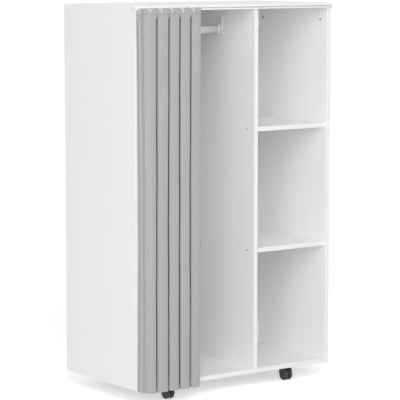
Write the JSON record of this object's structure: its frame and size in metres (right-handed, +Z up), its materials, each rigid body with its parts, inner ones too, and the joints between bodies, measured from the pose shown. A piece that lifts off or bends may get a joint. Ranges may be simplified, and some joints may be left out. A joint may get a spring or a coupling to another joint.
{
  "type": "curtain wardrobe",
  "caption": "Low open wardrobe on twin-wheel casters, with a hanging bay and an oval rail beside open compartments, and a gathered cloth curtain on a front track.",
  "frame": {"origin": "on the floor under the middle of the whole object, curtain included", "axes": "+Z up, -Y out of the open front, +X to the viewer's right when facing the front"},
  "size_m": [0.806, 0.445, 1.28],
  "materials": {
    "board": "white melamine, very faint grain",
    "back_board": "white foil on thin board",
    "zinc": "die-cast zinc",
    "steel": "zinc-plated steel",
    "dowel": "bare beech",
    "rail": "bright plated tube",
    "socket": "moulded",
    "track": "white enamel",
    "glider": "moulded",
    "curtain": "plain woven cloth",
    "caster_plastic": "black nylon",
    "wheel": "black nylon"
  },
  "bodies": {
    "cabinet": {"left_side_panel": "board", "right_side_panel": "board", "top_panel": "board", "bottom_panel": "board", "divider_panel": "board", "shelf_lower": "board", "shelf_upper": "board", "back_rail_top_left": "board", "back_rail_top_right": "board", "back_rail_bottom_left": "board", "back_rail_bottom_right": "board", "back_panel": "back_board", "cam_locks": "zinc", "cam_bolts": "steel", "dowels": "dowel", "shelf_screws": "steel", "clothes_rail": "rail", "rail_socket_left": "socket", "rail_socket_right": "socket", "rail_socket_screws": "steel", "curtain_track": "track", "track_end_bracket_left": "track", "track_end_bracket_right": "track", "track_screws": "steel", "glider_1": "glider", "caster_screws": "steel", "caster_front_left_plate": "steel", "caster_front_right_plate": "steel", "caster_rear_left_plate": "steel", "caster_rear_right_plate": "steel"},
    "lead_glider": {"glider_6": "glider", "curtain": "curtain"},
    "glider_2": {"glider_2": "glider"},
    "glider_3": {"glider_3": "glider"},
    "glider_4": {"glider_4": "glider"},
    "glider_5": {"glider_5": "glider"},
    "caster_front_left": {"caster_front_left_housing": "caster_plastic", "caster_front_left_axle": "steel"},
    "caster_front_left_wheel_left": {"caster_front_left_wheel_left": "wheel"},
    "caster_front_left_wheel_right": {"caster_front_left_wheel_right": "wheel"},
    "caster_front_right": {"caster_front_right_housing": "caster_plastic", "caster_front_right_axle": "steel"},
    "caster_front_right_wheel_left": {"caster_front_right_wheel_left": "wheel"},
    "caster_front_right_wheel_right": {"caster_front_right_wheel_right": "wheel"},
    "caster_rear_left": {"caster_rear_left_housing": "caster_plastic", "caster_rear_left_axle": "steel"},
    "caster_rear_left_wheel_left": {"caster_rear_left_wheel_left": "wheel"},
    "caster_rear_left_wheel_right": {"caster_rear_left_wheel_right": "wheel"},
    "caster_rear_right": {"caster_rear_right_housing": "caster_plastic", "caster_rear_right_axle": "steel"},
    "caster_rear_right_wheel_left": {"caster_rear_right_wheel_left": "wheel"},
    "caster_rear_right_wheel_right": {"caster_rear_right_wheel_right": "wheel"}
  },
  "joints": [
    {"name": "curtain_slide", "type": "slide", "parent": "cabinet", "child": "lead_glider", "axis": [1, 0, 0], "range_m": [0, 0.565], "deforming": ["curtain"]},
    {"name": "glider_2_slide", "type": "slide", "parent": "cabinet", "child": "glider_2", "axis": [1, 0, 0], "range_m": [0, 0.05886]},
    {"name": "glider_3_slide", "type": "slide", "parent": "cabinet", "child": "glider_3", "axis": [1, 0, 0], "range_m": [0, 0.19898]},
    {"name": "glider_4_slide", "type": "slide", "parent": "cabinet", "child": "glider_4", "axis": [1, 0, 0], "range_m": [0, 0.36622]},
    {"name": "glider_5_slide", "type": "slide", "parent": "cabinet", "child": "glider_5", "axis": [1, 0, 0], "range_m": [0, 0.50634]},
    {"name": "caster_front_left_swivel", "type": "hinge", "parent": "cabinet", "child": "caster_front_left", "pos_m": [-0.255, -0.1475, 0.042], "axis": [0, 0, 1], "continuous": true},
    {"name": "caster_front_left_wheel_left_spin", "type": "hinge", "parent": "caster_front_left", "child": "caster_front_left_wheel_left", "pos_m": [-0.2637, -0.1625, 0.02], "axis": [1, 0, 0], "continuous": true},
    {"name": "caster_front_left_wheel_right_spin", "type": "hinge", "parent": "caster_front_left", "child": "caster_front_left_wheel_right", "pos_m": [-0.2463, -0.1625, 0.02], "axis": [1, 0, 0], "continuous": true},
    {"name": "caster_front_right_swivel", "type": "hinge", "parent": "cabinet", "child": "caster_front_right", "pos_m": [0.238, -0.1475, 0.042], "axis": [0, 0, 1], "continuous": true},
    {"name": "caster_front_right_wheel_left_spin", "type": "hinge", "parent": "caster_front_right", "child": "caster_front_right_wheel_left", "pos_m": [0.2293, -0.1625, 0.02], "axis": [1, 0, 0], "continuous": true},
    {"name": "caster_front_right_wheel_right_spin", "type": "hinge", "parent": "caster_front_right", "child": "caster_front_right_wheel_right", "pos_m": [0.2467, -0.1625, 0.02], "axis": [1, 0, 0], "continuous": true},
    {"name": "caster_rear_left_swivel", "type": "hinge", "parent": "cabinet", "child": "caster_rear_left", "pos_m": [-0.255, 0.1475, 0.042], "axis": [0, 0, 1], "continuous": true},
    {"name": "caster_rear_left_wheel_left_spin", "type": "hinge", "parent": "caster_rear_left", "child": "caster_rear_left_wheel_left", "pos_m": [-0.2637, 0.1325, 0.02], "axis": [1, 0, 0], "continuous": true},
    {"name": "caster_rear_left_wheel_right_spin", "type": "hinge", "parent": "caster_rear_left", "child": "caster_rear_left_wheel_right", "pos_m": [-0.2463, 0.1325, 0.02], "axis": [1, 0, 0], "continuous": true},
    {"name": "caster_rear_right_swivel", "type": "hinge", "parent": "cabinet", "child": "caster_rear_right", "pos_m": [0.238, 0.1475, 0.042], "axis": [0, 0, 1], "continuous": true},
    {"name": "caster_rear_right_wheel_left_spin", "type": "hinge", "parent": "caster_rear_right", "child": "caster_rear_right_wheel_left", "pos_m": [0.2293, 0.1325, 0.02], "axis": [1, 0, 0], "continuous": true},
    {"name": "caster_rear_right_wheel_right_spin", "type": "hinge", "parent": "caster_rear_right", "child": "caster_rear_right_wheel_right", "pos_m": [0.2467, 0.1325, 0.02], "axis": [1, 0, 0], "continuous": true}
  ],
  "couplings": [
    {"joint": "glider_2_slide", "follows": "curtain_slide", "ratio": 0.104},
    {"joint": "glider_3_slide", "follows": "curtain_slide", "ratio": 0.352},
    {"joint": "glider_4_slide", "follows": "curtain_slide", "ratio": 0.648},
    {"joint": "glider_5_slide", "follows": "curtain_slide", "ratio": 0.896}
  ]
}
